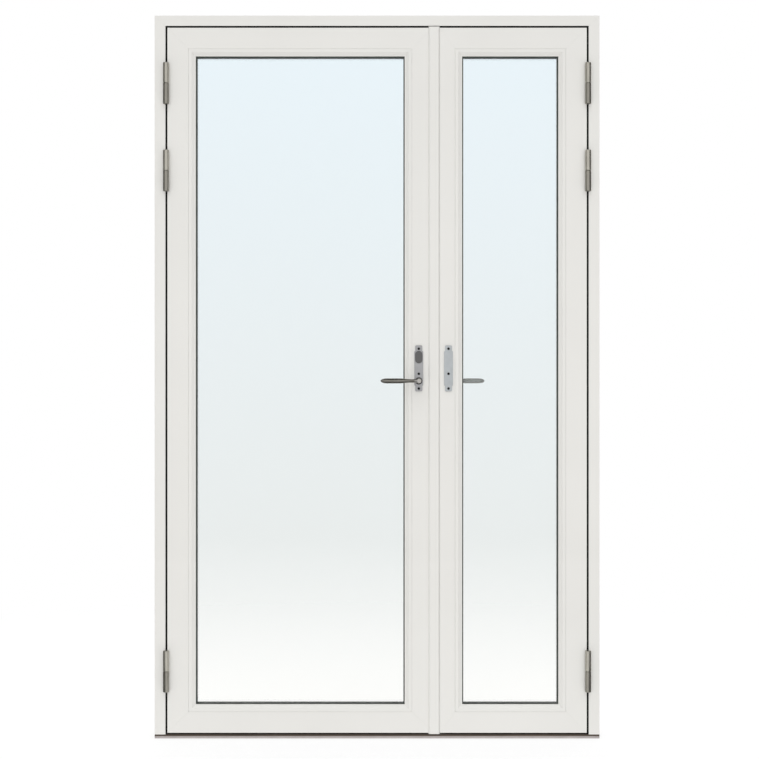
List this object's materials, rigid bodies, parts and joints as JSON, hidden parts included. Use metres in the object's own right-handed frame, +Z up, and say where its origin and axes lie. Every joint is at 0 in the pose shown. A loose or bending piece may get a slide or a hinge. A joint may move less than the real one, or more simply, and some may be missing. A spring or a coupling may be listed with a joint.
{
  "type": "french doors",
  "caption": "Outward-opening glazed double door in its frame, with a wide active leaf, a narrow passive leaf, knuckle hinges, levers and bolts.",
  "frame": {"origin": "middle of the threshold's underside", "axes": "+Z up, +X to the right seen from outside, +Y from outside to inside"},
  "size_m": [1.28, 0.1678, 2.08],
  "materials": {
    "white_timber": "satin white paint",
    "white_aluminium": "satin white powder coat",
    "hardwood": "oiled dark hardwood",
    "mill_aluminium": "mill finish",
    "nickel_steel": "satin nickel",
    "plain_steel": "zinc plated",
    "black_steel": "black",
    "black_rubber": "matt",
    "dark_plastic": "matt",
    "clear_glass": "clear float"
  },
  "bodies": {
    "frame": {"frame_head": "white_timber", "frame_jamb_left": "white_timber", "frame_jamb_right": "white_timber", "threshold_board": "hardwood", "threshold_base": "mill_aluminium", "head_cladding": "white_aluminium", "jamb_cladding": "white_aluminium", "frame_seal": "black_rubber", "bolt_strikes": "plain_steel", "hinge_frame_halves": "nickel_steel", "hinge_pins": "plain_steel"},
    "active_leaf": {"active_hinge_stile": "white_timber", "active_lock_stile": "white_timber", "active_top_rail": "white_timber", "active_bottom_rail": "white_timber", "active_stile_cladding": "white_aluminium", "active_rail_cladding": "white_aluminium", "active_glazing_beads": "white_aluminium", "active_panes": "clear_glass", "active_spacer": "dark_plastic", "active_gaskets": "black_rubber", "active_setting_blocks": "dark_plastic", "active_hinge_halves": "nickel_steel", "meeting_strip": "white_aluminium", "meeting_seal": "black_rubber", "active_lock_case": "plain_steel", "active_edge_plate": "plain_steel", "active_outside_plate": "nickel_steel", "active_inside_plate": "nickel_steel", "active_cylinder_plugs": "dark_plastic", "active_plate_screws": "black_steel"},
    "active_lever": {"active_outside_lever": "nickel_steel", "active_inside_lever": "nickel_steel", "active_spindle": "plain_steel", "active_follower": "plain_steel"},
    "active_bolts": {"active_bolts": "plain_steel"},
    "active_rail": {"active_drive_rail": "plain_steel"},
    "passive_leaf": {"passive_hinge_stile": "white_timber", "passive_meeting_stile": "white_timber", "passive_top_rail": "white_timber", "passive_bottom_rail": "white_timber", "passive_stile_cladding": "white_aluminium", "passive_rail_cladding": "white_aluminium", "passive_glazing_beads": "white_aluminium", "passive_panes": "clear_glass", "passive_spacer": "dark_plastic", "passive_gaskets": "black_rubber", "passive_setting_blocks": "dark_plastic", "passive_hinge_halves": "nickel_steel", "passive_gearbox": "plain_steel", "passive_keep_plate": "plain_steel", "passive_outside_plate": "nickel_steel", "passive_inside_plate": "nickel_steel", "passive_plate_screws": "black_steel"},
    "passive_lever": {"passive_inside_lever": "nickel_steel", "passive_spindle": "plain_steel", "passive_follower": "plain_steel"},
    "passive_upper_rod": {"passive_upper_rod": "plain_steel"},
    "passive_lower_rod": {"passive_lower_rod": "plain_steel"}
  },
  "joints": [
    {"name": "active_leaf_swing", "type": "hinge", "parent": "frame", "child": "active_leaf", "pos_m": [-0.6062, -0.0665, 1.04], "axis": [0, 0, -1], "range_deg": [0, 170]},
    {"name": "passive_leaf_swing", "type": "hinge", "parent": "frame", "child": "passive_leaf", "pos_m": [0.6062, -0.0665, 1.04], "axis": [0, 0, 1], "range_deg": [0, 170]},
    {"name": "active_lever_turn", "type": "hinge", "parent": "active_leaf", "child": "active_lever", "pos_m": [0.12, -0.0575, 1.0288], "axis": [0, -1, 0], "range_deg": [0, 90]},
    {"name": "passive_lever_turn", "type": "hinge", "parent": "passive_leaf", "child": "passive_lever", "pos_m": [0.2055, 0.0065, 1.0288], "axis": [0, 1, 0], "range_deg": [0, 90]},
    {"name": "active_bolts_throw", "type": "slide", "parent": "active_leaf", "child": "active_bolts", "axis": [1, 0, 0], "range_m": [0, 0.0181]},
    {"name": "active_rail_shift", "type": "slide", "parent": "active_leaf", "child": "active_rail", "axis": [0, 0, 1], "range_m": [0, 0.0181]},
    {"name": "passive_upper_throw", "type": "slide", "parent": "passive_leaf", "child": "passive_upper_rod", "axis": [0, 0, 1], "range_m": [0, 0.0126]},
    {"name": "passive_lower_throw", "type": "slide", "parent": "passive_leaf", "child": "passive_lower_rod", "axis": [0, 0, -1], "range_m": [0, 0.0126]}
  ],
  "couplings": [
    {"joint": "active_bolts_throw", "follows": "active_lever_turn", "m_per_rad": 0.011459},
    {"joint": "active_rail_shift", "follows": "active_lever_turn", "m_per_rad": 0.011459},
    {"joint": "passive_upper_throw", "follows": "passive_lever_turn", "m_per_rad": 0.0079577},
    {"joint": "passive_lower_throw", "follows": "passive_lever_turn", "m_per_rad": 0.0079577}
  ]
}
